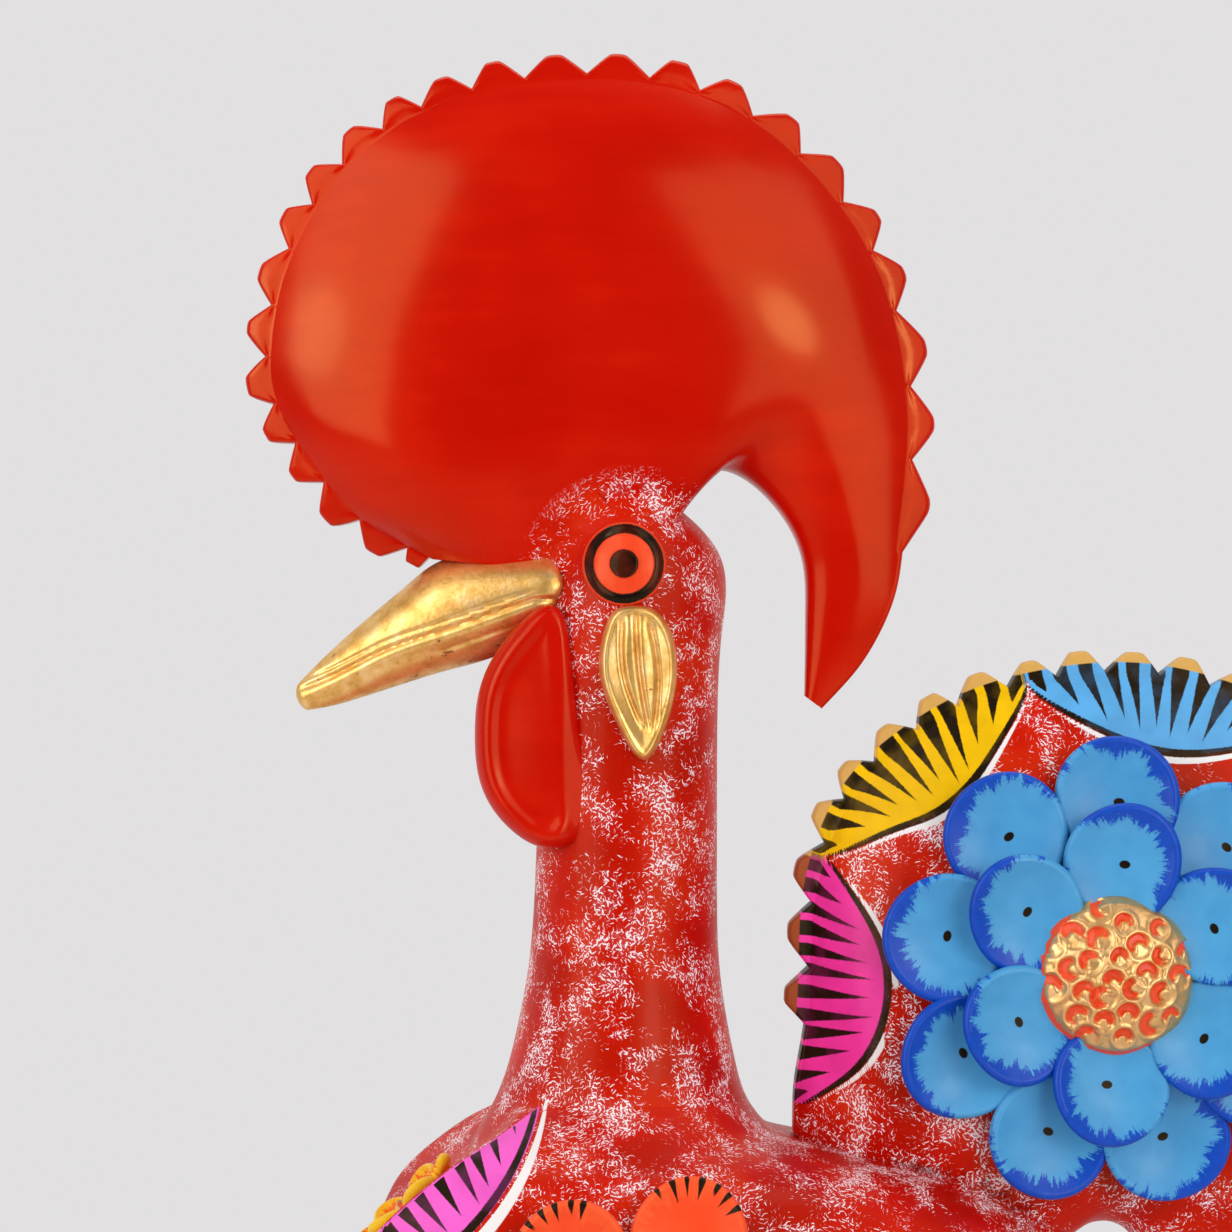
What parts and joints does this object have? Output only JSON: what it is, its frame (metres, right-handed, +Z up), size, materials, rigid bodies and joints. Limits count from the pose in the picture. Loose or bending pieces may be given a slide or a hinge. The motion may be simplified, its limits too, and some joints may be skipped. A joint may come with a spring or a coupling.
{
  "type": "rooster of barcelos",
  "caption": "Painted clay folk rooster standing on a round plinth, with a notched hooked comb, a notched tail fan and hand-pressed flowers in relief; ornament.",
  "frame": {"origin": "centre of the plinth's underside", "axes": "the bird faces -X, its left side is -Y, +Z is up"},
  "size_m": [0.3431, 0.184, 0.6018],
  "materials": {
    "red_lacquer": "gloss varnish over red paint",
    "flecked_red": "gloss varnish over red paint with white flecks",
    "gold_leaf": "gold leaf over red bole, satin",
    "eye_paint": "gloss paint, ringed in black",
    "blue_petal": "gloss varnish over brushed blue paint",
    "orange_petal": "gloss varnish over orange paint",
    "yellow_petal": "gloss varnish over yellow paint",
    "stamped_boss": "gold leaf with red cups",
    "plinth_paint": "gloss varnish over blue paint"
  },
  "bodies": {
    "root": {"plinth": "plinth_paint", "leg_left": "gold_leaf", "leg_right": "gold_leaf", "foot_left": "gold_leaf", "foot_right": "gold_leaf", "body": "flecked_red", "neck": "flecked_red", "comb": "red_lacquer", "beak": "gold_leaf", "wattle_left": "red_lacquer", "wattle_right": "red_lacquer", "earlobe_left": "gold_leaf", "earlobe_right": "gold_leaf", "eye_left": "eye_paint", "eye_right": "eye_paint", "tail": "flecked_red", "tail_outer_petals_left": "blue_petal", "tail_outer_petals_right": "blue_petal", "tail_inner_petals_left": "blue_petal", "tail_inner_petals_right": "blue_petal", "tail_boss_left": "stamped_boss", "tail_boss_right": "stamped_boss", "flank_outer_petals_left": "orange_petal", "flank_outer_petals_right": "orange_petal", "flank_inner_petals_left": "orange_petal", "flank_inner_petals_right": "orange_petal", "flank_boss_left": "stamped_boss", "flank_boss_right": "stamped_boss", "breast_petals": "yellow_petal", "breast_boss": "stamped_boss"}
  },
  "joints": []
}
